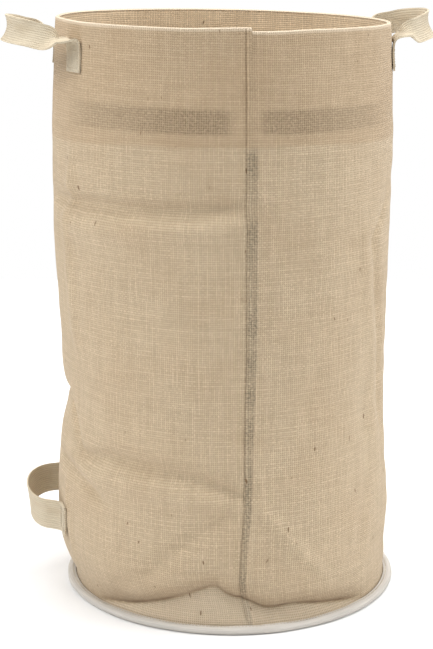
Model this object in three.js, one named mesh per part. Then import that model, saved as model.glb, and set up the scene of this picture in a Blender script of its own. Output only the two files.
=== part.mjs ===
// Sack race bag: a jute tube sewn to a round base, with a hemmed mouth, a bound bottom edge,
// two webbing handles at the mouth and one near the base. Millimetres, +Z up.
// The origin is the centre of the base's underside. The side seam faces -Y, and the lower
// handle is on the -X side. Angles go round from the front: 0 is -Y and +90 is +X.
import * as THREE from "three";

// ---- driving dimensions ----
const HEIGHT = 600;            // floor to mouth
const BASE_RADIUS = 178.4;     // outside of the bound bottom edge
const WALL_SHIFT = -8;         // the tube stands a little to one side of its base
const SHIFT_TOP = 62;          // height above which the tube has its full shift
const CLOTH = 1.6;             // jute thickness
const GAP = 0.3;               // air between two layers that lie together
const COLUMNS = 48;            // facets round the tube

const HEM_DEPTH = 107;         // the mouth's inner layer
const FACING_THICKNESS = 1.4;
const TAPE_BOTTOM = 508;
const TAPE_WIDTH = 25;
const TAPE_THICKNESS = 0.8;

const SEAM_ANGLE = 7.8;        // degrees, the side seam's line
const SEAM_ALLOWANCE = 3.2;    // degrees, about 10 mm of cloth
const SEAM_THICKNESS = 1.2;

const FOLD_HALF_WIDTH = 52;    // degrees, the front stretch where the wall folds in over its base
const FOLD_CENTRE = 5;

const BINDING_CLOTH = 1.2;
const BINDING_LIP = 9;
const PANEL_EDGE_LIFT = 1.6;   // the base panel's edge lies on the binding's lower lip

const MOUTH_WEBBING = 26;      // width of the two mouth handles
const LOWER_WEBBING = 32;      // width of the handle near the base
const WEBBING_THICKNESS = 1.8;
const THREAD = 0.8;

// The tube's mid-surface from its bottom edge to its mouth: [radius, folded radius, height].
// The folded radius holds at the front, where the wall creases above its base.
const WALL_LINE = [
  [176, 176, 4.3],
  [168, 168, 4.3],
  [168.4, 150, 15],
  [172.5, 156, 32],
  [176.5, 171, 66],
  [177.2, 177.2, 110],
  [171.4, 171.4, 200],
  [171.2, 171.2, 300],
  [174.7, 174.7, 400],
  [174, 174, 480],
  [171.8, 171.8, 540],
  [169.2, 169.2, HEIGHT],
];

// Each handle: centre and half span in degrees, the height of its swing axis, how far the loop
// reaches out from the chord between its ends, and how much it tilts up from level.
const MOUTH_HANDLES = [
  { name: "upper_left_handle", centre: -77, halfSpan: 19.5, axisZ: 584, reach: 62, tilt: 12 },
  { name: "upper_right_handle", centre: 105, halfSpan: 19.5, axisZ: 584, reach: 62, tilt: 12 },
];
const LOWER_HANDLE = { name: "lower_handle", centre: -88.5, halfSpan: 15.5, axisZ: 90, reach: 39 };
const AXIS_OFFSET = 8;         // a mouth handle's swing axis, outside the chord of its ends
const PATCH_HEIGHT = 28;       // sewn length of a mouth handle's end
const LOWER_PATCH = 8;         // degrees, sewn length of the lower handle's end
const LOWER_START = 14;        // where the lower handle's moving stretch begins, off its chord
const ROOT_GAP = 2.5;          // air between a sewn end and its moving loop

const JUTE = { color: 0xcdb898, roughness: 0.95, metalness: 0 };
const INNER_JUTE = { color: 0xc2a682, roughness: 0.95, metalness: 0 };
const TAPE = { color: 0x8d8778, roughness: 0.9, metalness: 0 };
const BINDING = { color: 0xd6cec2, roughness: 0.8, metalness: 0 };
const WEBBING = { color: 0xddd0b6, roughness: 0.85, metalness: 0 };
const SEWING_THREAD = { color: 0xe4d8c2, roughness: 0.7, metalness: 0 };

const group = new THREE.Group();

// ---- helpers ----
const { clamp, degToRad, lerp, smoothstep } = THREE.MathUtils;
const UP = new THREE.Vector3(0, 0, 1);

function add(name, geometry, look) {
  const mesh = new THREE.Mesh(geometry, new THREE.MeshStandardMaterial(look));
  mesh.name = name;
  group.add(mesh);
}

// The unit direction out from the tube's axis at an angle.
function outward(degrees) {
  const angle = degToRad(degrees);
  return new THREE.Vector3(Math.sin(angle), -Math.cos(angle), 0);
}

// The unit direction round the tube at an angle, towards larger angles.
function around(degrees) {
  return outward(degrees + 90);
}

// A point on or near the tube, which stands a little to one side of its base.
function tubePoint(degrees, radius, z) {
  const shift = WALL_SHIFT * smoothstep(z, 5, SHIFT_TOP);
  return outward(degrees).multiplyScalar(radius).add(new THREE.Vector3(shift, 0, z));
}

function signedVolume(positions, indices) {
  const a = new THREE.Vector3();
  const b = new THREE.Vector3();
  const c = new THREE.Vector3();
  let volume = 0;
  for (let i = 0; i < indices.length; i += 3) {
    a.fromArray(positions, indices[i] * 3);
    b.fromArray(positions, indices[i + 1] * 3);
    c.fromArray(positions, indices[i + 2] * 3);
    volume += a.dot(b.cross(c)) / 6;
  }
  return volume;
}

// A closed solid through a row of sections. A section has an outer and an inner line of points,
// as many in each. The row joins back to its start, or ends in two flat caps.
function sweep(sections, closed) {
  const rows = sections[0].outer.length;
  const ring = 2 * rows;
  const positions = [];
  const indices = [];
  for (const { outer, inner } of sections) {
    for (const point of [...outer, ...inner.slice().reverse()]) positions.push(...point.toArray());
  }
  const quad = (a, b, c, d) => indices.push(a, b, c, a, c, d);
  const spans = closed ? sections.length : sections.length - 1;
  for (let i = 0; i < spans; i++) {
    const here = i * ring;
    const next = ((i + 1) % sections.length) * ring;
    for (let j = 0; j < ring; j++) {
      const k = (j + 1) % ring;
      quad(here + j, next + j, next + k, here + k);
    }
  }
  if (!closed) {
    const last = (sections.length - 1) * ring;
    for (let j = 0; j < rows - 1; j++) {
      const opposite = ring - 1 - j;
      quad(j, j + 1, opposite - 1, opposite);
      quad(last + opposite, last + opposite - 1, last + j + 1, last + j);
    }
  }
  if (signedVolume(positions, indices) < 0) indices.reverse();
  const geometry = new THREE.BufferGeometry();
  geometry.setAttribute("position", new THREE.Float32BufferAttribute(positions, 3));
  geometry.setIndex(indices);
  geometry.computeVertexNormals();
  return geometry;
}

// A strap: a flat section carried along points, each with its own width direction.
function strap(points, widthDirections, width, thickness) {
  const sections = points.map((point, i) => {
    const before = points[Math.max(i - 1, 0)];
    const after = points[Math.min(i + 1, points.length - 1)];
    const along = after.clone().sub(before).normalize();
    const across = widthDirections[i].clone();
    across.addScaledVector(along, -across.dot(along)).normalize();
    const face = along.clone().cross(across);
    const corner = (w, t) => point.clone().addScaledVector(across, w).addScaledVector(face, t);
    return {
      outer: [corner(-width / 2, thickness / 2), corner(width / 2, thickness / 2)],
      inner: [corner(-width / 2, -thickness / 2), corner(width / 2, -thickness / 2)],
    };
  });
  return sweep(sections, false);
}

// How far the wall is folded in at an angle: 1 at the front, 0 round the rest.
function foldAmount(degrees) {
  const wrapped = ((degrees - FOLD_CENTRE + 540) % 360) - 180;
  const turn = clamp(wrapped / FOLD_HALF_WIDTH, -1, 1);
  return Math.cos((turn * Math.PI) / 2) ** 2;
}

// The wall's mid-surface at an angle, as [radius, height] from the bottom up.
function wallLine(degrees) {
  const fold = foldAmount(degrees);
  return WALL_LINE.map(([plain, folded, z]) => [lerp(plain, folded, fold), z]);
}

// The same line cut to a stretch of height, with a point at each cut.
function cutLine(line, low, high) {
  const at = z => {
    const i = line.findIndex(([, height], n) => n > 0 && height >= z);
    const [r0, z0] = line[i - 1];
    const [r1, z1] = line[i];
    return [lerp(r0, r1, (z - z0) / (z1 - z0)), z];
  };
  return [at(low), ...line.filter(([, z]) => z > low && z < high), at(high)];
}

// A line in the radius-height plane, moved sideways by a distance: positive is outward.
function offsetLine(line, distance) {
  return line.map(([r, z], i) => {
    const [r0, z0] = line[Math.max(i - 1, 0)];
    const [r1, z1] = line[Math.min(i + 1, line.length - 1)];
    const length = Math.hypot(r1 - r0, z1 - z0);
    return [r + (distance * (z1 - z0)) / length, z - (distance * (r1 - r0)) / length];
  });
}

// One section of a layer of cloth: its mid-line at an angle, thickened both ways.
function clothSection(degrees, line, thickness) {
  const place = ([r, z]) => tubePoint(degrees, r, z);
  return {
    outer: offsetLine(line, thickness / 2).map(place),
    inner: offsetLine(line, -thickness / 2).map(place),
  };
}

// A layer that goes all round. lineAt gives its mid-line at an angle.
function clothRing(lineAt, thickness) {
  const sections = [];
  for (let i = 0; i < COLUMNS; i++) {
    const degrees = (360 * i) / COLUMNS;
    sections.push(clothSection(degrees, lineAt(degrees), thickness));
  }
  return sweep(sections, true);
}

// ---- the tube and its mouth ----
function makeWall() {
  return clothRing(wallLine, CLOTH);
}

// A layer inside the wall, between two heights, with its outer face at a depth inside the
// wall's inner face.
function innerRing(low, high, depth, thickness) {
  const inset = CLOTH / 2 + depth + thickness / 2;
  const lineAt = degrees => offsetLine(cutLine(wallLine(degrees), low, high), -inset);
  return clothRing(lineAt, thickness);
}

const FACING_DEPTH = GAP + TAPE_THICKNESS + GAP;
const HEM_BOTTOM = HEIGHT - HEM_DEPTH;

function makeHemStitching() {
  const low = HEM_BOTTOM + 3;
  return innerRing(low, low + THREAD, FACING_DEPTH + FACING_THICKNESS + GAP, THREAD);
}

// ---- the side seam ----
const SEAM_BOTTOM = 24;
const SEAM_DEPTH = 2 * GAP;    // a flat facet dips about one gap inside its round

function innerStrip(fromDegrees, toDegrees, low, high, depth, thickness) {
  const inset = CLOTH / 2 + depth + thickness / 2;
  const sections = [fromDegrees, toDegrees].map(degrees => {
    const line = offsetLine(cutLine(wallLine(degrees), low, high), -inset);
    return clothSection(degrees, line, thickness);
  });
  return sweep(sections, false);
}

function makeSeamStitching() {
  const middle = SEAM_ANGLE + SEAM_ALLOWANCE / 2;
  const depth = SEAM_DEPTH + SEAM_THICKNESS + GAP;
  return innerStrip(middle - 0.15, middle + 0.15, SEAM_BOTTOM + 4, HEM_BOTTOM - 8, depth, THREAD);
}

// ---- the base ----
function ringOf(corners) {
  const points = corners.map(([r, z]) => new THREE.Vector2(r, z));
  const geometry = new THREE.LatheGeometry(points, COLUMNS);
  geometry.rotateX(Math.PI / 2);
  return geometry;
}

const PANEL_TOP = PANEL_EDGE_LIFT + CLOTH;
const BINDING_HEIGHT = 6.7;    // holds the base's edge, the wall's edge and both its own lips
const BINDING_INSIDE = BASE_RADIUS - BINDING_LIP;

function makeBasePanel() {
  const flat = BINDING_INSIDE - 9;
  const lifted = BINDING_INSIDE - 1.5;
  const edge = BASE_RADIUS - BINDING_CLOTH - 0.8;
  return ringOf([
    [0, 0], [flat, 0], [lifted, PANEL_EDGE_LIFT], [edge, PANEL_EDGE_LIFT],
    [edge, PANEL_TOP], [lifted - 1, PANEL_TOP], [flat - 1, CLOTH], [0, CLOTH],
  ]);
}

function makeBinding() {
  const outside = BASE_RADIUS;
  const web = BASE_RADIUS - BINDING_CLOTH;
  const top = BINDING_HEIGHT;
  return ringOf([
    [BINDING_INSIDE, 0], [outside - 1, 0], [outside, 1], [outside, top - 1], [outside - 1, top],
    [BINDING_INSIDE, top], [BINDING_INSIDE, top - BINDING_CLOTH], [web, top - BINDING_CLOTH],
    [web, BINDING_CLOTH], [BINDING_INSIDE, BINDING_CLOTH], [BINDING_INSIDE, 0],
  ]);
}

function makeBindingStitching() {
  const low = BINDING_HEIGHT + GAP;
  const high = low + THREAD;
  const inside = BINDING_INSIDE + 3;
  const outside = inside + THREAD;
  return ringOf([[inside, low], [outside, low], [outside, high], [inside, high], [inside, low]]);
}

// ---- handles ----
// A handle's two ends and which way round the tube each one lies.
function endsOf(handle) {
  const forward = handle.centre < 0 ? 1 : -1;
  return [["front", forward], ["back", -forward]];
}

// A handle's own directions: u along the chord between its ends, n straight out, and the
// chord's middle point at the axis height.
function handleFrame(handle, wallRadius) {
  const n = outward(handle.centre);
  const u = around(handle.centre);
  const half = degToRad(handle.halfSpan);
  const chordHalf = wallRadius * Math.sin(half);
  const middle = tubePoint(handle.centre, wallRadius * Math.cos(half), handle.axisZ);
  return { n, u, chordHalf, middle };
}

function wallOuterAt(z) {
  const [[radius]] = cutLine(wallLine(180), z, z + 1);
  return radius + CLOTH / 2;
}

// A square of stitches on a flat sewn end, as a closed thread.
function boxStitch(centre, across, along, face, halfAcross, halfAlong) {
  const corners = [[-1, -1], [1, -1], [1, 1], [-1, 1]];
  const sections = corners.map(([a, b]) => {
    const corner = grow => centre.clone()
      .addScaledVector(across, a * (halfAcross + grow))
      .addScaledVector(along, b * (halfAlong + grow));
    const lifted = grow => corner(grow).addScaledVector(face, THREAD);
    return { outer: [corner(0), lifted(0)], inner: [corner(-THREAD), lifted(-THREAD)] };
  });
  return sweep(sections, true);
}

// A mouth handle's sewn end: flat on the wall, then turning out to the swing axis.
function makeMouthEnd(handle, side) {
  const degrees = handle.centre + side * handle.halfSpan;
  const top = handle.axisZ - 4;
  const line = [[0, top - PATCH_HEIGHT], [0, top - 8], [0.3, top - 3], [0.8, top + 1]];
  const lift = GAP + WEBBING_THICKNESS / 2;
  const points = line.map(([out, z]) => tubePoint(degrees, wallOuterAt(z) + lift + out, z));
  const widths = points.map(() => around(degrees));
  return strap(points, widths, MOUTH_WEBBING, WEBBING_THICKNESS);
}

function makeMouthTack(handle, side) {
  const degrees = handle.centre + side * handle.halfSpan;
  const middle = handle.axisZ - 4 - PATCH_HEIGHT / 2 - 4;
  const lift = GAP + WEBBING_THICKNESS + GAP;
  const centre = tubePoint(degrees, wallOuterAt(middle) + lift, middle);
  const above = tubePoint(degrees, wallOuterAt(middle + 1) + lift, middle + 1);
  const along = above.sub(centre).normalize();
  const across = around(degrees);
  const face = across.clone().cross(along);
  return boxStitch(centre, across, along, face, MOUTH_WEBBING / 2 - 4, 8);
}

// A mouth handle's loop: half an ellipse in a plane tilted up from level. The webbing starts
// flat in that plane and turns a quarter, so that it crosses the top on edge.
function makeMouthLoop(handle) {
  const frame = handleFrame(handle, wallOuterAt(handle.axisZ));
  const tilt = degToRad(handle.tilt);
  const out = frame.n.clone().multiplyScalar(Math.cos(tilt)).addScaledVector(UP, Math.sin(tilt));
  const normal = UP.clone().multiplyScalar(Math.cos(tilt)).addScaledVector(frame.n, -Math.sin(tilt));
  const origin = frame.middle.clone().addScaledVector(frame.n, AXIS_OFFSET);
  const reach = handle.reach - AXIS_OFFSET - ROOT_GAP;
  const steps = 32;
  const points = [];
  const widths = [];
  for (let i = 0; i <= steps; i++) {
    const degrees = (180 * i) / steps;
    const phase = degToRad(degrees);
    const point = origin.clone().addScaledVector(frame.u, -frame.chordHalf * Math.cos(phase));
    points.push(point.addScaledVector(out, ROOT_GAP + reach * Math.sin(phase)));
    const rise = smoothstep(degrees, 17, 62) + smoothstep(degrees, 118, 163);
    const turn = (rise * Math.PI) / 2;
    const width = frame.u.clone().multiplyScalar(Math.cos(turn));
    widths.push(width.addScaledVector(normal, Math.sin(turn)));
  }
  return strap(points, widths, MOUTH_WEBBING, WEBBING_THICKNESS);
}

// A point of the lower handle's half ellipse, by its phase from 0 to 180 degrees.
function lowerPoint(frame, handle, degrees) {
  const phase = degToRad(degrees);
  return frame.middle.clone()
    .addScaledVector(frame.u, -frame.chordHalf * Math.cos(phase))
    .addScaledVector(frame.n, handle.reach * Math.sin(phase));
}

const lowerFrame = handleFrame(LOWER_HANDLE, wallOuterAt(LOWER_HANDLE.axisZ) + GAP + 1.5);
const LOWER_START_PHASE = THREE.MathUtils.radToDeg(Math.asin(LOWER_START / LOWER_HANDLE.reach));
const GAP_PHASE = 10;

// The lower handle's sewn end: flat on the wall, then leaving it towards the loop.
function makeLowerEnd(handle, side) {
  const radius = wallOuterAt(handle.axisZ) + GAP + 1.5;
  const root = handle.centre + side * handle.halfSpan;
  const points = [LOWER_PATCH, LOWER_PATCH / 2, 1.5].map(more =>
    tubePoint(root + side * more, radius, handle.axisZ));
  for (const share of [0.35, 0.7, 1]) {
    const phase = share * (LOWER_START_PHASE - GAP_PHASE);
    points.push(lowerPoint(lowerFrame, handle, side < 0 ? phase : 180 - phase));
  }
  return strap(points, points.map(() => UP), LOWER_WEBBING, WEBBING_THICKNESS);
}

function makeLowerTack(handle, side) {
  const degrees = handle.centre + side * (handle.halfSpan + LOWER_PATCH / 2 + 0.5);
  const radius = wallOuterAt(handle.axisZ) + 1.5 + WEBBING_THICKNESS / 2 + 3 * GAP;
  const centre = tubePoint(degrees, radius, handle.axisZ);
  return boxStitch(centre, around(degrees), UP, outward(degrees), 8, LOWER_WEBBING / 2 - 4);
}

function makeLowerLoop(handle) {
  const steps = 14;
  const points = [];
  for (let i = 0; i <= steps; i++) {
    const phase = lerp(LOWER_START_PHASE, 180 - LOWER_START_PHASE, i / steps);
    points.push(lowerPoint(lowerFrame, handle, phase));
  }
  return strap(points, points.map(() => UP), LOWER_WEBBING, WEBBING_THICKNESS);
}

// ---- assembly ----
add("wall_panel", makeWall(), JUTE);
add("top_facing", innerRing(HEM_BOTTOM, HEIGHT - 1, FACING_DEPTH, FACING_THICKNESS), INNER_JUTE);
add("hem_tape", innerRing(TAPE_BOTTOM, TAPE_BOTTOM + TAPE_WIDTH, GAP, TAPE_THICKNESS), TAPE);
add("hem_stitching", makeHemStitching(), SEWING_THREAD);
const seamEnd = SEAM_ANGLE + SEAM_ALLOWANCE;
const seamTop = HEM_BOTTOM - 4;
add("side_seam_allowance",
  innerStrip(SEAM_ANGLE, seamEnd, SEAM_BOTTOM, seamTop, SEAM_DEPTH, SEAM_THICKNESS), JUTE);
add("side_seam_stitching", makeSeamStitching(), SEWING_THREAD);
add("base_panel", makeBasePanel(), JUTE);
add("base_binding", makeBinding(), BINDING);
add("binding_stitching", makeBindingStitching(), SEWING_THREAD);
for (const handle of MOUTH_HANDLES) {
  add(`${handle.name}_loop`, makeMouthLoop(handle), WEBBING);
  for (const [side, sign] of endsOf(handle)) {
    add(`${handle.name}_${side}_end`, makeMouthEnd(handle, sign), WEBBING);
    add(`${handle.name}_${side}_tack`, makeMouthTack(handle, sign), SEWING_THREAD);
  }
}
add(`${LOWER_HANDLE.name}_loop`, makeLowerLoop(LOWER_HANDLE), WEBBING);
for (const [side, sign] of endsOf(LOWER_HANDLE)) {
  add(`${LOWER_HANDLE.name}_${side}_end`, makeLowerEnd(LOWER_HANDLE, sign), WEBBING);
  add(`${LOWER_HANDLE.name}_${side}_tack`, makeLowerTack(LOWER_HANDLE, sign), SEWING_THREAD);
}

export default group;
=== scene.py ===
"""A jute sack race bag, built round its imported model: one creased tube of cloth with a hemmed
mouth, a round base with a bound edge, and three webbing handles.

Lengths here are millimetres until a mesh is made. Angles are degrees round the tube: 0 is the
front (-Y) and +90 is +X."""
import math

import bmesh
import bpy
import numpy as np
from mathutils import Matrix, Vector


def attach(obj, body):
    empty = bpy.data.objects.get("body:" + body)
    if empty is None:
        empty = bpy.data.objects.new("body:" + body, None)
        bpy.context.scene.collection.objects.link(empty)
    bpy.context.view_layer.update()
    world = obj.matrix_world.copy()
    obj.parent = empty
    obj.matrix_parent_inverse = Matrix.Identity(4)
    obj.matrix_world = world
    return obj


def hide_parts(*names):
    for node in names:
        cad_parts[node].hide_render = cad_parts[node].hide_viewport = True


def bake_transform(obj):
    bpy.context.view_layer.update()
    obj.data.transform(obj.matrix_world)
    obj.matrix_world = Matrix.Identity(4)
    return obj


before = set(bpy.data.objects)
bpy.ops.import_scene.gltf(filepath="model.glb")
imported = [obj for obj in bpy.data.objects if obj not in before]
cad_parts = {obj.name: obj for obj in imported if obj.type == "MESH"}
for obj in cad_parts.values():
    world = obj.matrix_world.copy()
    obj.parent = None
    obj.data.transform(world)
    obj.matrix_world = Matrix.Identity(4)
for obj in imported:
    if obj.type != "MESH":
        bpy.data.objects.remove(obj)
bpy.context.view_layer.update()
rng = np.random.default_rng(7)

# ---- sizes ----
MM = 0.001
MM_PER_DEGREE = 3.04       # along the tube's wall
HEIGHT = 600
WALL_SHIFT = -8            # the tube stands a little to one side of its base
SHIFT_TOP = 62             # height above which the tube has its full shift
CLOTH = 1.3
THREAD_PITCH = 2.2         # one yarn of the weave and the gap beside it
YARNS_ROUND = 500
HEM_BOTTOM = 493
FACING_INSET = 3.1         # from the wall's mid-surface to the facing's
TAPE_INSET = 1.5
TAPE_HEIGHTS = (508, 533)
BASE_RADIUS = 178.4
BINDING_INSIDE = 169.4
MOUTH_WEBBING = 26
LOWER_WEBBING = 32
WEBBING_THICKNESS = 1.8
STITCH_RADIUS = 0.45
SEAM_TOP = 489
SEAM_BOTTOM = 24

# The tube's radius by height, away from its front fold.
RADII = [(4.3, 168), (15, 168.6), (32, 172.5), (66, 176.5), (110, 177.2), (155, 174.6),
         (200, 171.6), (250, 170.7), (300, 171.2), (350, 173.2), (400, 174.7), (440, 174.6),
         (480, 174), (540, 171.8), (600, 169.2), (612, 168.7)]

# The fold above the base at the front: the height of its deepest line by angle.
FOLD_LINE = [(-56, 7), (-37, 16), (-25, 26), (-15, 36), (-8, 44), (-3, 47), (1, 38), (7, 32), (12, 23),
             (24, 22), (35, 17), (56, 8)]
FOLD_DEPTH = 14
FOLD_HALF_WIDTH = 54
FOLD_CENTRE = 1
FOLD_ABOVE = 33            # the fold fades out over this height

# Creases that run round the tube: points as (angle, height), then depth and half width.
LEVEL_CREASES = [
    ([(-80, 424), (-60, 428), (-27, 429), (-7, 430), (7, 436)], 7.6, 9),
    ([(-62, 404), (-39, 404), (-24, 408), (-7, 411), (5, 415)], -4.5, 12),
    ([(-59, 161), (-41, 172), (-28, 171), (-17, 167), (-7, 161), (7, 146)], 7.4, 9),
    ([(-60, 148), (-46, 150), (-25, 147), (-7, 141), (4, 136)], -4.2, 12),
    ([(-80, 147), (-58, 141), (-44, 125)], 5.0, 8),
    ([(-100, 214), (-72, 215), (-64, 190), (-57, 166)], 4.6, 9),
    ([(-45, 22), (-25, 57), (-11, 100), (5, 138)], 4.2, 13),
    ([(12, 130), (27, 78), (38, 45)], -3.6, 12),
    ([(10, 395), (30, 388), (52, 398)], 1.0, 14),
    ([(110, 300), (150, 330), (190, 312), (230, 326)], 3.0, 12),
    ([(120, 120), (160, 150), (205, 128)], 2.6, 12),
]
# Creases that run up it: points as (height, angle), then depth and half width.
UPRIGHT_CREASES = [
    ([(280, -60), (411, -63), (440, -61), (475, -58)], -3.8, 9),
    ([(180, 74), (287, 70), (366, 62), (390, 60), (425, 74)], 4.4, 9),
    ([(180, 66), (287, 62), (360, 55), (400, 54)], -2.0, 9),
    ([(60, 52), (150, 60), (230, 58)], 1.6, 12),
    ([(220, 172), (380, 165), (520, 171)], 2.4, 14),
    ([(20, -66), (60, -63), (120, -68)], -2.2, 6),
]
SEAM_LINE = [(0, 5.6), (39, 5.2), (99, 6.1), (133, 6.9), (286, 7.6), (442, 7.4), (600, 7.3)]

MOUTH_HANDLES = [("upper_left_handle", -77), ("upper_right_handle", 105)]
MOUTH_HALF_SPAN = 19.5
MOUTH_WALL = 170.6         # the wall's outside radius there
MOUTH_AXIS_Z = 584
MOUTH_AXIS_OFFSET = 8
MOUTH_REACH = 51.5
MOUTH_TILT = 12
# How far the webbing has turned over, in degrees, by its place round the loop.
MOUTH_TWIST = [(0, 0), (8, 8), (12, 34), (18, 58), (40, 64), (90, 90), (140, 116), (162, 122),
               (168, 146), (172, 172), (180, 180)]
LOWER_CENTRE = -88.5
LOWER_HALF_SPAN = 15.5
LOWER_WALL = 179.5
LOWER_AXIS_Z = 90
LOWER_REACH = 38


# ---- the tube's shape ----
def smoothstep(x, low, high):
    t = np.clip((x - low) / (high - low), 0, 1)
    return t * t * (3 - 2 * t)


def outward(degrees):
    a = np.radians(degrees)
    return np.stack([np.sin(a), -np.cos(a), np.zeros_like(a)], axis=-1)


def curve_through(points, x):
    """A smooth line through (x, y) points: cubic, with its slope from the neighbours."""
    px, py = np.array(points, float).T
    slope = np.gradient(py, px)
    i = np.clip(np.searchsorted(px, x) - 1, 0, len(px) - 2)
    span = px[i + 1] - px[i]
    t = np.clip((x - px[i]) / span, 0, 1)
    a = py[i] * (1 + 2 * t) * (1 - t) ** 2 + slope[i] * span * t * (1 - t) ** 2
    return a + py[i + 1] * t * t * (3 - 2 * t) - slope[i + 1] * span * t * t * (1 - t)


def ripples(count, longest, shortest):
    """Random waves in space, as (direction times wave number, phase)."""
    way = rng.normal(size=(count, 3))
    way /= np.linalg.norm(way, axis=1)[:, None]
    length = rng.uniform(shortest, longest, size=(count, 1))
    return way * 2 * math.pi / length, rng.uniform(0, 2 * math.pi, count)


RIPPLES = [(1.5, ripples(9, 330, 190)), (0.75, ripples(12, 130, 70)), (0.28, ripples(14, 50, 24))]


def unevenness(point):
    total = np.zeros(point.shape[:-1])
    for height, (ways, phases) in RIPPLES:
        waves = np.sin(point @ ways.T + phases)
        total += height * waves.sum(axis=-1) / math.sqrt(len(phases))
    return total


def crease(along, across, line, depth, half_width, fade):
    """A soft valley that follows a line, or a ridge if its depth is below zero."""
    at, place = np.array(line, float).T
    distance = (across - np.interp(along, at, place)) / half_width
    ends = smoothstep(along, at[0] - fade, at[0] + fade)
    ends = ends * (1 - smoothstep(along, at[-1] - fade, at[-1] + fade))
    return -depth * ends * np.exp(-distance * distance)


def signed(degrees):
    return (degrees + 180) % 360 - 180


def creases(degrees, z):
    turn = signed(degrees)
    total = np.zeros(np.broadcast(degrees, z).shape)
    for line, depth, width in LEVEL_CREASES:
        angle = degrees % 360 if line[0][0] > 90 else turn
        total += crease(angle, z, line, depth, width, 7)
    for line, depth, width in UPRIGHT_CREASES:
        angle = degrees % 360 if line[0][1] > 90 else turn
        mm_line = [(height, place * MM_PER_DEGREE) for height, place in line]
        total += crease(z, angle * MM_PER_DEGREE, mm_line, depth, width, 26)
    pinch = np.exp(-((turn + 86) / 20) ** 2 - ((z - 206) / 26) ** 2)
    return total - 6.5 * pinch


def base_fold(degrees, z):
    turn = signed(degrees)
    line = curve_through(FOLD_LINE, np.clip(turn, -56, 56))
    amount = np.cos(np.clip((turn - FOLD_CENTRE) / FOLD_HALF_WIDTH, -1, 1) * math.pi / 2) ** 0.8
    below = np.clip((z - 4.3) / (line - 4.3), 0, 1)
    rise = np.clip(z - line, 0, FOLD_ABOVE)
    above = 0.5 * np.exp(-rise / 4.5) + 0.5 * (1 - rise / FOLD_ABOVE) ** 1.5
    above = above * (z - line < FOLD_ABOVE)
    return FOLD_DEPTH * amount * np.where(z < line, below, above)


def seam_relief(degrees, z):
    """The seam is a narrow groove, and the doubled cloth beside it stands a little proud."""
    across = (signed(degrees) - np.interp(z, *np.array(SEAM_LINE).T)) * MM_PER_DEGREE
    proud = smoothstep(across, 0.5, 2.5) * (1 - smoothstep(across, 9, 13))
    return 0.9 * proud - 1.1 * np.exp(-((across / 1.6) ** 2))


def tube(degrees, z, offset=0.0):
    """Points on the tube's mid-surface, or a distance outside it."""
    degrees, z = np.broadcast_arrays(np.asarray(degrees, float), np.asarray(z, float))
    way = outward(degrees)
    radius = curve_through(RADII, z)
    shift = WALL_SHIFT * smoothstep(z, 5, SHIFT_TOP)
    rough = way * radius[..., None] + np.stack([shift, 0 * z, z], axis=-1)
    free = smoothstep(z, 8, 60)
    radius = radius + free * (unevenness(rough) + creases(degrees, z))
    radius = radius + seam_relief(degrees, z) * smoothstep(z, 6, 14) - base_fold(degrees, z)
    turn = signed(degrees)
    lap = smoothstep(turn, -16, 8) * (1 - smoothstep(turn, 8.7, 9.3))
    short = smoothstep(turn, 8.9, 9.5) * (1 - smoothstep(turn, 14, 34))
    height = z + (1.2 - 3.2 * np.sin(np.radians(degrees))) * smoothstep(z, 380, HEIGHT)
    height = height + (1.8 * lap - 1.6 * short) * smoothstep(z, 570, HEIGHT)
    flat = way * (radius + offset)[..., None]
    return flat + np.stack([shift, 0 * z, height], axis=-1)


# ---- meshes ----
def new_object(name, points, faces, material, smooth_below=40):
    mesh = bpy.data.meshes.new(name)
    mesh.from_pydata((np.asarray(points) * MM).tolist(), [], faces)
    mesh.shade_smooth()
    mesh.set_sharp_from_angle(angle=math.radians(smooth_below))
    mesh.materials.append(material)
    piece = bpy.data.objects.new(name, mesh)
    bpy.context.scene.collection.objects.link(piece)
    return piece


def slopes(grid, axis, closed):
    if closed:
        return np.roll(grid, -1, axis) - np.roll(grid, 1, axis)
    return np.gradient(grid, axis=axis)


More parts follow.
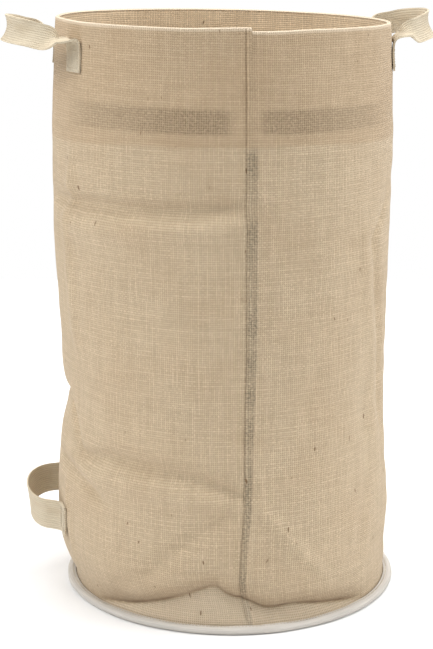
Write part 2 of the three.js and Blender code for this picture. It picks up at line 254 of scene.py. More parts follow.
def shell(name, grid, thickness, material, uv, closed=False, fields=None):
    """A sheet of cloth of a real thickness through a grid of mid-surface points, rows by
    columns. uv has one column more than a closed grid, and counts yarns."""
    rows, cols = grid.shape[:2]
    normal = np.cross(slopes(grid, 1, closed), slopes(grid, 0, False))
    normal /= np.linalg.norm(normal, axis=-1, keepdims=True) + 1e-9
    sides = np.stack([grid + normal * thickness / 2, grid - normal * thickness / 2])
    spans = cols if closed else cols - 1
    r, c = (a.ravel() for a in np.mgrid[0:rows - 1, 0:spans])
    corner = []                       # per face: four of (side, row, column)
    front = [(0 * r, r, c), (0 * r, r, c + 1), (0 * r, r + 1, c + 1), (0 * r, r + 1, c)]
    corner.append(np.array(front))
    corner.append(np.array([(s + 1, a, b) for s, a, b in front[::-1]]))
    c = np.arange(spans)
    for row, order in ((0, 1), (rows - 1, -1)):
        edge = [(0 * c + 1, 0 * c + row, c), (0 * c + 1, 0 * c + row, c + 1),
                (0 * c, 0 * c + row, c + 1), (0 * c, 0 * c + row, c)]
        corner.append(np.array(edge[::order]))
    if not closed:
        r = np.arange(rows - 1)
        for col, order in ((0, -1), (cols - 1, 1)):
            edge = [(0 * r + 1, r, 0 * r + col), (0 * r + 1, r + 1, 0 * r + col),
                    (0 * r, r + 1, 0 * r + col), (0 * r, r, 0 * r + col)]
            corner.append(np.array(edge[::-order]))
    side, row, col = np.concatenate(corner, axis=2).transpose(1, 2, 0)
    index = side * rows * cols + row * cols + col % cols
    piece = new_object(name, sides.reshape(-1, 3), index.tolist(), material)
    layer = piece.data.uv_layers.new(name="weave")
    layer.data.foreach_set("uv", uv[row, col].astype(np.float32).ravel())
    for field, values in (fields or {}).items():
        attribute = piece.data.attributes.new(field, "FLOAT", "POINT")
        attribute.data.foreach_set("value", np.tile(values.ravel(), 2).astype(np.float32))
    return piece


def merge_close(piece):
    """Joins points that lie together, such as the middle of a disc."""
    work = bmesh.new()
    work.from_mesh(piece.data)
    bmesh.ops.remove_doubles(work, verts=work.verts, dist=0.00005)
    work.to_mesh(piece.data)
    work.free()


def tube_strip(name, heights, angles, offset, thickness, material, closed=False, fields=None):
    """A layer that follows the tube between two heights."""
    grid = tube(angles[None, :], heights[:, None], offset)
    yarns_u = np.append(angles, angles[0] + 360) if closed else angles
    u = yarns_u / 360 * YARNS_ROUND
    uv = np.stack(np.broadcast_arrays(u[None, :], heights[:, None] / THREAD_PITCH), axis=-1)
    return shell(name, grid, thickness, material, uv, closed, fields)


def stitches(name, path, faces, material, fill=0.7, radius=STITCH_RADIUS):
    """Short bowed threads, one from each path point towards the next, on a surface whose
    outward directions are faces."""
    start, end = path[:-1], path[:-1] + (path[1:] - path[:-1]) * fill
    up = faces[:-1]
    along = end - start
    side = np.cross(along, up)
    side /= np.linalg.norm(side, axis=-1, keepdims=True) + 1e-9
    shares = np.array([0, 0.12, 0.35, 0.65, 0.88, 1])
    lifts = np.array([-1, 0.1, 0.7, 0.7, 0.1, -1]) * radius
    widths = np.array([0.35, 0.85, 1, 1, 0.85, 0.35]) * radius
    turns = np.linspace(0, 2 * math.pi, 7)[:-1]
    middle = start[:, None] + along[:, None] * shares[:, None] + up[:, None] * lifts[:, None]
    ring = (side[:, None, None] * np.cos(turns)[:, None]
            + up[:, None, None] * np.sin(turns)[:, None])
    points = middle[:, :, None] + ring * widths[:, None, None]
    faces_out = []
    for n in range(len(start)):
        at = n * 36
        for k in range(5):
            for j in range(6):
                a, b = at + k * 6 + j, at + k * 6 + (j + 1) % 6
                faces_out.append((a, a + 6, b + 6, b))
        faces_out.append([at + j for j in range(6)])
        faces_out.append([at + 35 - j for j in range(6)])
    return new_object(name, points.reshape(-1, 3), faces_out, material, 80)


def spaced(points, count):
    """The same open line, as that many evenly spaced points on a smooth curve."""
    points = np.asarray(points, float)
    steps = np.linalg.norm(np.diff(points, axis=0), axis=1)
    run = np.concatenate([[0], np.cumsum(steps)])
    at = np.linspace(0, run[-1], count)
    axes = [curve_through(np.column_stack([run, axis]), at) for axis in points.T]
    return np.stack(axes, axis=-1), at


def ribbon(name, points, across, width, material, count=150, cup=0.0):
    """Webbing along a line, with its width direction at each point. Its edges are slightly
    raised, and between its sewn ends it may be cupped more."""
    path, run = spaced(points, count)
    steps = np.linalg.norm(np.diff(points, axis=0), axis=1)
    source = np.concatenate([[0], np.cumsum(steps)])
    wide = np.stack([np.interp(run, source, axis) for axis in np.array(across).T], axis=-1)
    along = np.gradient(path, axis=0)
    along /= np.linalg.norm(along, axis=-1, keepdims=True)
    wide -= along * (wide * along).sum(axis=-1, keepdims=True)
    wide /= np.linalg.norm(wide, axis=-1, keepdims=True)
    face = np.cross(along, wide)
    share = np.linspace(-1, 1, 17)
    half = width / 2
    grid = path[None] + wide[None] * share[:, None, None] * half
    share_run = run / run[-1]
    bow = 0.5 + cup * smoothstep(share_run, 0.16, 0.36) * (1 - smoothstep(share_run, 0.64, 0.84))
    bow = bow + 0.12 * cup * np.sin(share_run * 41) * smoothstep(share_run, 0.16, 0.3)
    grid = grid + face[None] * ((share ** 2 - 0.4)[:, None] * bow[None, :])[..., None]
    uv = np.stack(np.broadcast_arrays(run[None, :], share[:, None] * half), axis=-1)
    return shell(name, grid, WEBBING_THICKNESS, material, uv)


# ---- materials ----
class Graph:
    """A material with short calls for the nodes used here."""

    def __init__(self, name, roughness, sheen=0.0, specular=0.2):
        self.material = bpy.data.materials.new(name)
        self.material.use_nodes = True
        self.tree = self.material.node_tree
        self.shader = self.tree.nodes["Principled BSDF"]
        self.shader.inputs["Roughness"].default_value = roughness
        self.shader.inputs["Specular IOR Level"].default_value = specular
        self.shader.inputs["Sheen Weight"].default_value = sheen

    def node(self, kind, inputs, **settings):
        node = self.tree.nodes.new(kind)
        for key, value in settings.items():
            setattr(node, key, value)
        for key, value in inputs.items():
            if isinstance(value, bpy.types.NodeSocket):
                self.tree.links.new(value, node.inputs[key])
            elif value is not None:
                node.inputs[key].default_value = value
        return node

    def math(self, operation, a, b=None, c=None):
        return self.node("ShaderNodeMath", {0: a, 1: b, 2: c}, operation=operation).outputs[0]

    def vector(self, x, y, z=0.0):
        return self.node("ShaderNodeCombineXYZ", {0: x, 1: y, 2: z}).outputs[0]

    def noise(self, vector, scale, detail=2.0, output=0):
        inputs = {"Vector": vector, "Scale": scale, "Detail": detail}
        return self.node("ShaderNodeTexNoise", inputs).outputs[output]

    def rise(self, value, low, high, to_low=0.0, to_high=1.0):
        inputs = {0: value, 1: low, 2: high, 3: to_low, 4: to_high}
        return self.node("ShaderNodeMapRange", inputs, interpolation_type="SMOOTHSTEP").outputs[0]

    def mix(self, factor, a, b):
        """Colour a at factor 0 and colour b at factor 1."""
        return self.node("ShaderNodeMix", {0: factor, 6: a, 7: b}, data_type="RGBA").outputs[2]

    def field(self, name):
        return self.node("ShaderNodeAttribute", {}, attribute_name=name).outputs["Fac"]

    def finish(self, colour, height, depth):
        self.tree.links.new(colour, self.shader.inputs["Base Color"])
        bump = self.node("ShaderNodeBump", {"Height": height, "Distance": depth * MM})
        self.tree.links.new(bump.outputs[0], self.shader.inputs["Normal"])
        return self.material


def tone(red, green, blue):
    """A colour given as it looks on a screen, 0 to 255."""
    linear = [((c / 255 + 0.055) / 1.055) ** 2.4 for c in (red, green, blue)]
    return (*linear, 1)


def scaled(colour, *shares):
    """A colour with its red, green and blue multiplied: by one share, or by one each."""
    shares = shares * 3 if len(shares) == 1 else shares
    return (*(min(c * k, 1) for c, k in zip(colour, shares)), 1)


def plain_weave(g, wander=0.9):
    """Heights of a plain weave, one yarn for each unit of the map, and where its yarns run
    dark or pale. Returns height, streak, u and v."""
    place = g.node("ShaderNodeUVMap", {}, uv_map="weave").outputs[0]
    drift = g.noise(place, 0.07, 2.0, output=1)
    parts = g.node("ShaderNodeSeparateXYZ", {0: place})
    moves = g.node("ShaderNodeSeparateXYZ", {0: drift})
    u = g.math("MULTIPLY_ADD", moves.outputs[0], wander, parts.outputs[0])
    v = g.math("MULTIPLY_ADD", moves.outputs[1], wander, parts.outputs[1])
    column, row = g.math("FLOOR", u), g.math("FLOOR", v)
    parity = g.math("FLOORED_MODULO", g.math("ADD", column, row), 2.0)
    over = g.math("MULTIPLY_ADD", parity, -2.0, 1.0)
    warp = g.math("SINE", g.math("MULTIPLY", g.math("FRACT", u), math.pi))
    weft = g.math("SINE", g.math("MULTIPLY", g.math("FRACT", v), math.pi))
    lift = g.math("MULTIPLY", over, 0.42)
    warp_height = g.math("MULTIPLY", warp, g.math("MULTIPLY_ADD", weft, lift, 0.58))
    sink = g.math("MULTIPLY", over, -0.42)
    weft_height = g.math("MULTIPLY", weft, g.math("MULTIPLY_ADD", warp, sink, 0.58))
    height = g.math("MAXIMUM", warp_height, weft_height)
    on_top = g.math("GREATER_THAN", warp_height, weft_height)
    down = g.noise(g.vector(g.math("MULTIPLY", column, 0.77), g.math("MULTIPLY", v, 0.035)), 1.0)
    round_ = g.noise(g.vector(g.math("MULTIPLY", u, 0.035), g.math("MULTIPLY", row, 0.77), 9.0), 1.0)
    both = g.node("ShaderNodeMix", {0: on_top, 2: round_, 3: down}).outputs[0]
    return height, both, u, v


def jute(name, colour):
    """Coarse jute: uneven yarns with painted shade in the gaps between them, slubs and a few
    flecks; painted grey and brown shade where the hem, the tape and the seam allowance behind it
    block the light showing through, a painted shadow along the base fold and a painted
    highlight on the mouth's rolled edge and the base flange."""
    g = Graph(name, 0.93, sheen=0.12)
    height, streak, u, v = plain_weave(g)
    pale = scaled(colour, 1.15)
    dark = scaled(colour, 0.89, 0.875, 0.85)
    shade = g.mix(g.rise(streak, 0.3, 0.7), dark, pale)
    fine = g.noise(g.vector(g.math("MULTIPLY", u, 0.9), g.math("MULTIPLY", v, 0.9)), 1.0, 3.0)
    shade = g.mix(g.rise(fine, 0.35, 0.75, 0.0, 0.34), shade, scaled(colour, 0.72))
    crossing = g.vector(g.math("FLOOR", u), g.math("FLOOR", v))
    knot = g.node("ShaderNodeTexWhiteNoise", {"Vector": crossing}, noise_dimensions="2D").outputs[0]
    shade = g.mix(g.math("MULTIPLY", knot, 0.34), shade, scaled(colour, 0.66))
    broad = g.noise(g.vector(g.math("MULTIPLY", u, 0.03), g.math("MULTIPLY", v, 0.03)), 1.0, 3.0)
    shade = g.mix(g.rise(broad, 0.35, 0.75, 0.0, 0.16), shade, tone(176, 146, 112))
    # painted grey shade where the tape and the seam allowance behind the cloth block the light showing
    # through
    through = g.math("MAXIMUM", g.field("tape"), g.field("seam"))
    patchy = g.math("MULTIPLY_ADD", height, -0.55, g.rise(fine, 0.25, 0.8, 0.55, 1.15))
    shade = g.mix(g.math("MULTIPLY", through, patchy), shade, tone(104, 98, 82))
    # painted shade: the doubled cloth above the hem line is painted darker and browner
    shade = g.mix(g.math("MULTIPLY", g.field("hem"), 0.30), shade, tone(168, 138, 104))
    # painted shadow along the base fold
    shade = g.mix(g.math("MULTIPLY", g.field("fold"), 0.72), shade, tone(112, 84, 54))
    # painted highlight: the mouth's rolled edge and the base flange are painted paler
    shade = g.mix(g.math("MULTIPLY", g.field("painted_highlight"), 0.7), shade, tone(226, 211, 188))
    # painted shade: the gaps between yarns, where the weave is low, are painted dark
    gap = g.rise(height, 0.12, 0.55, 0.62, 0.0)
    shade = g.mix(gap, shade, tone(118, 92, 62))
    specks = g.noise(g.vector(g.math("MULTIPLY", u, 0.32), g.math("MULTIPLY", v, 0.14), 4.0), 1.0, 1.0)
    shade = g.mix(g.rise(specks, 0.755, 0.79, 0.0, 0.75), shade, tone(104, 76, 46))
    return g.finish(shade, g.math("MULTIPLY_ADD", streak, 0.25, height), 0.5)


def webbing(name, colour):
    """Soft ribbed webbing: cross ribs with a fine twill on them, and denser woven edges."""
    g = Graph(name, 0.85, sheen=0.15)
    place = g.node("ShaderNodeUVMap", {}, uv_map="weave").outputs[0]
    parts = g.node("ShaderNodeSeparateXYZ", {0: place})
    run, across = parts.outputs[0], parts.outputs[1]
    ribs = g.math("SINE", g.math("MULTIPLY", across, 2 * math.pi / 2.3))
    slant = g.math("PINGPONG", across, 4.0)
    twill = g.math("SINE", g.math("MULTIPLY", g.math("ADD", run, slant), 2 * math.pi / 1.7))
    height = g.math("MULTIPLY_ADD", ribs, 0.6, g.math("MULTIPLY", twill, 0.4))
    yarns = g.noise(g.vector(g.math("MULTIPLY", run, 0.05), g.math("MULTIPLY", across, 1.4)), 1.0, 3.0)
    shade = g.mix(g.rise(yarns, 0.3, 0.7), scaled(colour, 0.84), colour)
    # painted shade: the troughs between the ribs are painted darker
    shade = g.mix(g.rise(height, -0.9, 0.1, 0.38, 0.0), shade, tone(150, 124, 88))
    soil = g.noise(g.vector(g.math("MULTIPLY", run, 0.03), g.math("MULTIPLY", across, 0.08), 3.0), 1.0)
    shade = g.mix(g.rise(soil, 0.4, 0.75, 0.0, 0.22), shade, tone(180, 152, 112))
    return g.finish(shade, height, 0.35)


def fine_cloth(name, colour, rib, depth, roughness):
    """A smooth narrow fabric, such as bias binding or tape, with a close rib."""
    g = Graph(name, roughness, sheen=0.1)
    place = g.node("ShaderNodeUVMap", {}, uv_map="weave").outputs[0]
    parts = g.node("ShaderNodeSeparateXYZ", {0: place})
    diagonal = g.math("ADD", parts.outputs[0], parts.outputs[1])
    threads = g.math("SINE", g.math("MULTIPLY", diagonal, 2 * math.pi / rib))
    blotch = g.noise(g.vector(g.math("MULTIPLY", parts.outputs[0], 0.02), parts.outputs[1]), 1.0, 3.0)
    shade = g.mix(g.rise(blotch, 0.3, 0.75), colour, scaled(colour, 0.80))
    # painted shade: the troughs between threads are painted darker
    shade = g.mix(g.rise(threads, -1.0, 0.2, 0.22, 0.0), shade, scaled(colour, 0.6))
    return g.finish(shade, threads, depth)


def sewing_thread(name, colour):
    """Twisted thread: slanting plies, with painted shade between them."""
    g = Graph(name, 0.6, sheen=0.2)
    place = g.node("ShaderNodeNewGeometry", {}).outputs["Position"]
    parts = g.node("ShaderNodeSeparateXYZ", {0: place})
    total = g.math("ADD", g.math("ADD", parts.outputs[0], parts.outputs[1]), parts.outputs[2])
    ply = g.math("SINE", g.math("MULTIPLY", total, 2 * math.pi / 0.0007))
    uneven = g.noise(place, 400.0)
    # painted shade: the grooves between plies are painted darker
    shade = g.mix(g.rise(ply, -1.0, 1.0), scaled(colour, 0.72), colour)
    shade = g.mix(g.rise(uneven, 0.3, 0.8, 0.0, 0.3), shade, tone(170, 146, 112))
    return g.finish(shade, ply, 0.1)


JUTE = jute("jute", tone(200, 181, 153))
INNER_JUTE = jute("inner_jute", tone(236, 214, 182))
TAPE = fine_cloth("tape", tone(150, 144, 130), 1.2, 0.15, 0.9)
BINDING = fine_cloth("binding", tone(232, 226, 217), 0.9, 0.12, 0.8)
WEBBING = webbing("webbing", tone(219, 206, 181))
THREAD = sewing_thread("thread", tone(226, 212, 188))
PIECES = {}


def declare(piece, slot, *nodes):
    """Hides the model's parts for the nodes a piece stands for, and keeps the piece by name.
    slot, the finish it takes, is not used.
    """
    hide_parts(*nodes)
    PIECES[piece.name] = piece
    return piece


# ---- the tube and its mouth ----
# Columns round the tube, close together at the seam.
ANGLES = np.concatenate([np.arange(-180, 4.4, 0.8), np.arange(4.6, 12.4, 0.16),
                         np.arange(12.8, 179.9, 0.8)])
COLUMNS = len(ANGLES)
FLANGE = [(176, 4.3), (173.5, 4.2), (171, 4.15), (169, 4.2)]
LOW_ROWS = np.concatenate([np.linspace(4.6, 70, 40), np.linspace(72.4, HEIGHT - 1.5, 214)])


def band(z, low, high, soft):
    return smoothstep(z, low - soft, low + soft) * (1 - smoothstep(z, high - soft, high + soft))


def wall_fields(angles, z):
    """Painted shade where the hem, the tape behind it and the seam allowance block the light
    showing through the cloth, a painted shadow along the seam and along the base fold, and a
    painted highlight on the mouth's rolled edge and the base flange.
    """
    turn, z = np.broadcast_arrays(signed(angles), z)
    hem_line = np.interp(turn, [-70, -27, 25, 64], [484, 490, 492, 487])
    seam = np.interp(z, *np.array(SEAM_LINE).T)
    # painted shade: where the tape behind the hem blocks the light showing through the cloth
    left_end = smoothstep(turn, -66, -44) * (1 - smoothstep(turn, 0, 4))
    right_end = smoothstep(turn, 10, 15) * (1 - smoothstep(turn, 50, 78))
    tape_ends = left_end + right_end + 0.8 * band(turn, 92, 168, 6)
    strong = 0.62 + 0.38 * np.exp(-((turn + 10) / 24) ** 2) + 0.2 * np.exp(-((turn - 28) / 14) ** 2)
    allowance = 2.0 + 1.4 * smoothstep(z, 20, 330)
    # painted shadow: a dark line along the base fold and darker cloth just above it, under the
    # overhang
    fold_line = curve_through(FOLD_LINE, np.clip(turn, -56, 56))
    patches = 0.7 + 0.3 * np.sin(turn / 3.1) * np.sin(turn / 7.3 + 1)
    above = z - fold_line
    painted_fold_shadow = np.exp(-(((above - 0.6) / 2.2) ** 2)) * patches
    painted_fold_shadow = painted_fold_shadow + 0.42 * smoothstep(above, 0, 2) * np.exp(-(((above - 4) / 11) ** 2))
    painted_fold_shadow = painted_fold_shadow * (1 - smoothstep(np.abs(turn), 42, 62))
    # painted highlight: the base flange below the fold line is painted paler, as if lit from above
    flange = smoothstep(-above, 1, 4) * (1 - smoothstep(np.abs(turn), 50, 64))
    # painted shade: the seam allowance behind the cloth blocks the light showing through it
    behind = band((turn - seam) / allowance, 0.06, 1, 0.12)
    # painted shadow: a thin dark line along the seam's lapped edge
    line = np.exp(-(((turn - seam) / 0.22) ** 2))
    patchy = 0.62 + 0.38 * np.sin(z / 17 + 1.6 * np.sin(z / 41)) ** 2
    patchy = patchy * (1 - 0.6 * np.exp(-((z - 432) / 12) ** 2))
    return {
        # painted shade: above the hem line the doubled cloth lets less light through
        "hem": smoothstep(z - hem_line, -2, 2),
        "fold": painted_fold_shadow,
        # painted highlight on the mouth's rolled edge and on the base flange
        "painted_highlight": np.maximum(smoothstep(z, 597.2, 599.4), 0.55 * flange),
        "tape": band(z, 503, 526, 2.0) * tape_ends * strong,
        "seam": np.maximum(behind * patchy * (1 - 0.72 * smoothstep(z, 484, 496)), 0.85 * line),
    }


def wall_cloth():
    """The outer cloth, from inside the binding up to the mouth, where it turns over inwards."""
    flange = [outward(ANGLES) * r + np.array([0, 0, z]) for r, z in FLANGE]
    rising = tube(ANGLES[None, :], LOW_ROWS[:, None])
    bend = np.radians([20, 50, 80, 110, 140, 165])
    half = FACING_INSET / 2
    rolled = [tube(ANGLES, np.full(COLUMNS, HEIGHT - 1.5 + 1.4 * math.sin(a)),
                   -half * (1 - math.cos(a))) for a in bend]
    grid = np.concatenate([np.array(flange), rising, np.array(rolled)])
    heights = np.concatenate([[z for _, z in FLANGE], LOW_ROWS, np.full(len(bend), HEIGHT)])
    run = np.concatenate([[0], np.cumsum(np.linalg.norm(np.diff(grid[:, 0], axis=0), axis=-1))])
    u = np.append(ANGLES, 180) / 360 * YARNS_ROUND
    uv = np.stack(np.broadcast_arrays(u[None, :], run[:, None] / THREAD_PITCH), axis=-1)
    fields = wall_fields(ANGLES[None, :], heights[:, None])
    return shell("wall_cloth", grid, CLOTH, JUTE, uv, True, fields)


wall = declare(wall_cloth(), "jute", "wall_panel")
facing = tube_strip("hem_facing", np.linspace(HEM_BOTTOM, HEIGHT - 1.6, 40), ANGLES,
                    -FACING_INSET, CLOTH, INNER_JUTE, closed=True)
declare(facing, "inner_jute", "top_facing")
tape = tube_strip("hem_tape_strip", np.linspace(*TAPE_HEIGHTS, 8), ANGLES, -TAPE_INSET, 0.5,
                  TAPE, closed=True)
declare(tape, "tape", "hem_tape")


def stitch_round(name, z, offset, pitch, face):
    """A row of stitches round the tube, on its outside (face 1) or inside (face -1)."""
    count = int(2 * math.pi * 172 / pitch)
    angles = np.linspace(-180, 180, count + 1)
    return stitches(name, tube(angles, np.full(count + 1, float(z)), offset),
                    face * outward(angles), THREAD)


hem_inner = stitch_round("hem_stitches", HEM_BOTTOM + 3.4, -FACING_INSET - CLOTH / 2, 4, -1)
declare(hem_inner, "thread", "hem_stitching")


# ---- the side seam ----
def seam_at(z, more=0.0):
    return np.interp(z, *np.array(SEAM_LINE).T) + more


def seam_allowance():
    heights = np.linspace(SEAM_BOTTOM, SEAM_TOP, 150)
    across = np.linspace(0.1, 3.2, 7)
    angles = seam_at(heights)[:, None] + across[None, :]
    grid = tube(angles, heights[:, None], -CLOTH - 0.25)
    uv = np.stack(np.broadcast_arrays(angles / 360 * YARNS_ROUND + 0.5,
                                      heights[:, None] / THREAD_PITCH), axis=-1)
    return shell("seam_allowance", grid, 1.1, JUTE, uv)


allowance = declare(seam_allowance(), "jute", "side_seam_allowance")


def seam_stitches(name, more, offset, face):
    heights = np.linspace(SEAM_BOTTOM + 4, SEAM_TOP - 4, 116)
    angles = seam_at(heights, more)
    return stitches(name, tube(angles, heights, offset), face * outward(angles), THREAD)


seam_inside = seam_stitches("seam_stitches", 1.6, -CLOTH - 0.85, -1)
declare(seam_inside, "thread", "side_seam_stitching")


# ---- the base ----
def base_cloth():
    radii = np.concatenate([np.linspace(0, 150, 26), np.linspace(154, 176, 14)])
    z = 0.8 + 1.6 * smoothstep(radii, 160, 168.5)
    ring = outward(ANGLES[::3])
    grid = ring[None] * radii[::-1, None, None] + np.array([0, 0, 1.0]) * z[::-1, None, None]
    closed_ring = np.concatenate([ring, ring[:1]])
    flat = closed_ring[None, :, :2] * radii[::-1, None, None] / THREAD_PITCH
    piece = shell("base_cloth", grid, CLOTH, JUTE, flat, True)
    merge_close(piece)
    return piece


base = declare(base_cloth(), "jute", "base_panel")

BINDING_LINE = [(169.6, 6.15), (172, 6.3), (175, 6.2), (177, 5.6), (177.8, 4.5), (177.9, 3.3),
                (177.8, 2.1), (177, 1.05), (175, 0.6), (172, 0.6), (169.6, 0.65)]


def binding_ring():
    """A folded tape round the bottom edge. Its end laps over its start at the front."""
    line = np.array(BINDING_LINE)[::-1]
    wave = np.sin(np.radians(ANGLES) * 9 + 1) + 0.7 * np.sin(np.radians(ANGLES) * 23)
    lap = smoothstep(ANGLES, 10.6, 11.2) * (1 - smoothstep(ANGLES, 17, 20))
    web = smoothstep(line[:, 0], 174, 177.5)[:, None]
    radius = line[:, 0][:, None] + web * (0.16 * wave + 0.55 * lap)
    upper = smoothstep(line[:, 1], 3.4, 6)[:, None]
    z = line[:, 1][:, None] + upper * (0.22 * wave + 0.45 * lap)
    grid = outward(ANGLES)[None] * radius[..., None] + z[..., None] * np.array([0, 0, 1.0])
    run = np.arange(len(line)) * 2.2
    u = np.append(ANGLES, 180) * math.radians(1) * BASE_RADIUS
    uv = np.stack(np.broadcast_arrays(u[None, :], run[:, None]), axis=-1)
    return shell("base_binding_tape", grid, 0.9, BINDING, uv, True)


binding = declare(binding_ring(), "binding", "base_binding")


def binding_stitches(count=300, radius=172.4, height=6.9):
    """A row of stitches in the binding's upper lip."""
    path = outward(np.linspace(-180, 180, count + 1)) * radius + np.array([0, 0, height])
    up = np.tile([0.0, 0, 1], (count + 1, 1))
    return stitches("binding_stitches", path, up, THREAD, radius=0.35)


declare(binding_stitches(), "thread", "binding_stitching")

for piece in PIECES.values():
    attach(piece, "sack")


# ---- handles ----
def handle_frame(centre, half_span, axis_z, outer):
    """Directions along and out from the chord between a handle's ends, and its middle."""
    n = outward(np.array(float(centre)))
    u = outward(np.array(float(centre) + 90))
    chord = outer * math.sin(math.radians(half_span))
    middle = n * outer * math.cos(math.radians(half_span)) + np.array([WALL_SHIFT, 0, axis_z])
    return n, u, chord, middle


def ends_of(centre):
    """A handle's front and back ends, and which way round the tube each one lies."""
    forward = 1 if centre < 0 else -1
    return ("front", forward), ("back", -forward)


def box_stitch(name, points_at, half_along, half_across):
    """A square of stitches. points_at turns (across, along) into points
    and outward directions."""
    a, b = half_across, half_along
    legs = [(-a, -b), (a, -b), (a, b), (-a, b), (-a, -b)]
    route = []
    for (x0, y0), (x1, y1) in zip(legs, legs[1:]):
        count = max(2, int(math.hypot(x1 - x0, y1 - y0) / 2.6))
        route += [(x0 + (x1 - x0) * i / count, y0 + (y1 - y0) * i / count) for i in range(count)]
    route.append(legs[-1])
    points, faces = points_at(np.array(route))
    return stitches(name, points, faces, THREAD, fill=0.75)


def mouth_handle(name, centre):
    """Webbing from one sewn end, up and out round the loop on edge, and down to the other."""
    n, u, chord, middle = handle_frame(centre, MOUTH_HALF_SPAN, MOUTH_AXIS_Z, MOUTH_WALL)
    tilt = math.radians(MOUTH_TILT)
    up = np.array([0, 0, 1.0])
    out = n * math.cos(tilt) + up * math.sin(tilt)
    normal = up * math.cos(tilt) - n * math.sin(tilt)
    lift = CLOTH / 2 + WEBBING_THICKNESS / 2 + 0.5

    def sewn(side):
        degrees = np.full(6, float(centre + side * MOUTH_HALF_SPAN))
        heights = np.array([552, 558, 564, 570, 576, 581.0])
        rows = tube(degrees, heights, np.array([0, 0, 0, 0, 0.4, 1.4]) + lift)
        return rows, np.tile(outward(degrees[:1] + 90), (6, 1))

    phases = np.linspace(8, 172, 42)
    turn = np.radians(curve_through(MOUTH_TWIST, phases))
    phase = np.radians(phases)[:, None]
    loop = (middle + n * MOUTH_AXIS_OFFSET - u * chord * np.cos(phase)
            + out * (2.5 + MOUTH_REACH * np.sin(phase)))
    loop_across = u * np.cos(turn)[:, None] + normal * np.sin(turn)[:, None]
    first, first_across = sewn(-1)
    last, last_across = sewn(1)
    points = np.concatenate([first, loop, last[::-1]])
    across = np.concatenate([first_across, loop_across, -last_across])
    piece = ribbon(f"{name}_webbing", points, across, MOUTH_WEBBING, WEBBING, cup=3.5)
    declare(piece, "webbing", f"{name}_loop", f"{name}_front_end", f"{name}_back_end")
    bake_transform(piece)

    for label, side in ends_of(centre):
        degrees = centre + side * MOUTH_HALF_SPAN

        def on_patch(route, degrees=degrees):
            angles = degrees + route[:, 0] / 3.0
            return tube(angles, 564 + route[:, 1], lift + 1.0), outward(angles)

        tack = box_stitch(f"{name}_{label}_stitches", on_patch, 8.5, MOUTH_WEBBING / 2 - 3.5)
        declare(tack, "thread", f"{name}_{label}_tack")
        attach(tack, "sack")
    return piece


def lower_handle():
    """Webbing on edge, sewn flat to the wall at both ends, with a slack loop between."""
    name = "lower_handle"
    n, u, chord, middle = handle_frame(LOWER_CENTRE, LOWER_HALF_SPAN, LOWER_AXIS_Z, LOWER_WALL)
    up = np.array([0, 0, 1.0])
    lift = CLOTH / 2 + WEBBING_THICKNESS / 2 + 0.6

    def slope(points):
        """The strap rises a little from its front end to its back."""
        along = (points - middle) @ u
        rise = np.interp(along, [-70, -48, 0, 48, 70], [4, 3, -3, -7, -7])
        return points + up * rise[:, None]

    def sewn(side):
        root = LOWER_CENTRE + side * LOWER_HALF_SPAN
        degrees = root + side * np.array([8, 6, 4, 2.0])
        return tube(degrees, np.full(4, float(LOWER_AXIS_Z)), lift)

    phase = np.radians(np.linspace(10, 170, 21))[:, None]
    squared = np.sin(phase) ** 0.72
    skew = 7 * np.sin(phase) ** 2
    loop = middle - u * (chord * np.cos(phase) + skew) + n * LOWER_REACH * squared
    points = slope(np.concatenate([sewn(-1), loop, sewn(1)[::-1]]))
    lean = n * 0.12 + up
    weights = np.concatenate([np.zeros(4), np.sin(phase[:, 0]), np.zeros(4)])[:, None]
    across = up * (1 - weights) + lean * weights
    piece = ribbon(f"{name}_webbing", points, across, LOWER_WEBBING, WEBBING)
    declare(piece, "webbing", f"{name}_loop", f"{name}_front_end", f"{name}_back_end")
    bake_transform(piece)

    for label, side in ends_of(LOWER_CENTRE):
        degrees = LOWER_CENTRE + side * (LOWER_HALF_SPAN + 4.6)
        fall = 3.6 if side < 0 else -7.0

        def on_patch(route, degrees=degrees, fall=fall):
            angles = degrees + route[:, 1] / 3.1
            heights = LOWER_AXIS_Z + fall + route[:, 0]
            path = tube(angles, np.full(len(route), float(LOWER_AXIS_Z)), lift + 1.1)
            path[:, 2] = heights
            return path, outward(angles)

        tack = box_stitch(f"{name}_{label}_stitches", on_patch, 7.5, 11)
        declare(tack, "thread", f"{name}_{label}_tack")
        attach(tack, "sack")
    return piece


loops = [mouth_handle(name, centre) for name, centre in MOUTH_HANDLES]
loops.append(lower_handle())


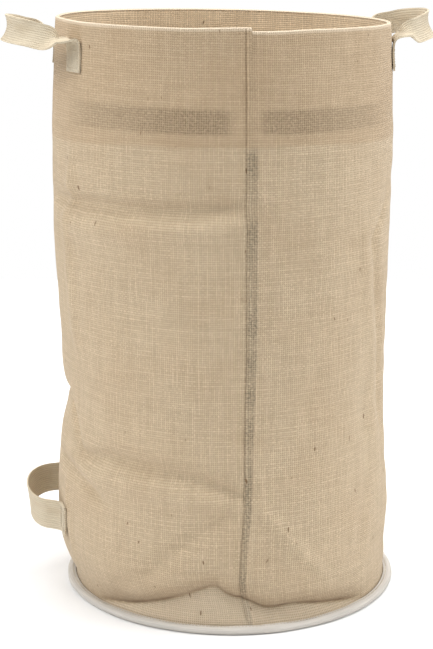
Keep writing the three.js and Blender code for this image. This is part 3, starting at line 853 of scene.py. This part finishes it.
# ---- floor, light and camera ----
def floor():
    grid = np.array([[-1500, -1500, 0], [1500, -1500, 0], [1500, 1500, 0], [-1500, 1500, 0]], float)
    g = Graph("floor", 0.9, specular=0.0)
    place = g.node("ShaderNodeNewGeometry", {}).outputs["Position"]
    shade = g.mix(g.noise(place, 6.0), (0.9, 0.9, 0.9, 1), (0.86, 0.86, 0.86, 1))
    plane = new_object("floor", grid, [(0, 1, 2, 3)], g.finish(shade, g.noise(place, 40.0), 0.05))
    plane.location.z = -0.0004


def area_light(name, place, target, size, power):
    light = bpy.data.lights.new(name, "AREA")
    light.shape = "SQUARE"
    light.size = size
    light.energy = power
    lamp = bpy.data.objects.new(name, light)
    lamp.location = place
    lamp.rotation_euler = (Vector(target) - Vector(place)).to_track_quat("-Z", "Y").to_euler()
    bpy.context.scene.collection.objects.link(lamp)


def white_room(ambient):
    """Soft light from all round, in front of a white background."""
    world = bpy.data.worlds.new("studio")
    bpy.context.scene.world = world
    world.use_nodes = True
    nodes, links = world.node_tree.nodes, world.node_tree.links
    seen = nodes.new("ShaderNodeBackground")
    mix = nodes.new("ShaderNodeMixShader")
    path = nodes.new("ShaderNodeLightPath")
    nodes["Background"].inputs["Color"].default_value = (1, 1, 1, 1)
    nodes["Background"].inputs["Strength"].default_value = ambient
    seen.inputs["Color"].default_value = (1, 1, 1, 1)
    links.new(path.outputs["Is Camera Ray"], mix.inputs[0])
    links.new(nodes["Background"].outputs[0], mix.inputs[1])
    links.new(seen.outputs[0], mix.inputs[2])
    links.new(mix.outputs[0], nodes["World Output"].inputs["Surface"])


def camera():
    data = bpy.data.cameras.new("camera")
    data.lens = 93.1
    data.sensor_width = 36
    view = bpy.data.objects.new("camera", data)
    view.location = (-0.0144, -1.743, 0.708)
    view.rotation_euler = (math.radians(90 - 13.84), 0, 0)
    bpy.context.scene.collection.objects.link(view)
    bpy.context.scene.camera = view


floor()
white_room(0.52)
area_light("key", (-2.2, -0.8, 2.1), (0, 0, 0.3), 1.3, 48)
area_light("top", (0.3, 0.4, 3.2), (0, 0, 0), 2.6, 100)
area_light("fill", (2.3, -0.35, 1.5), (0, 0, 0.3), 1.5, 31)
camera()
bpy.context.scene.view_settings.view_transform = "Standard"
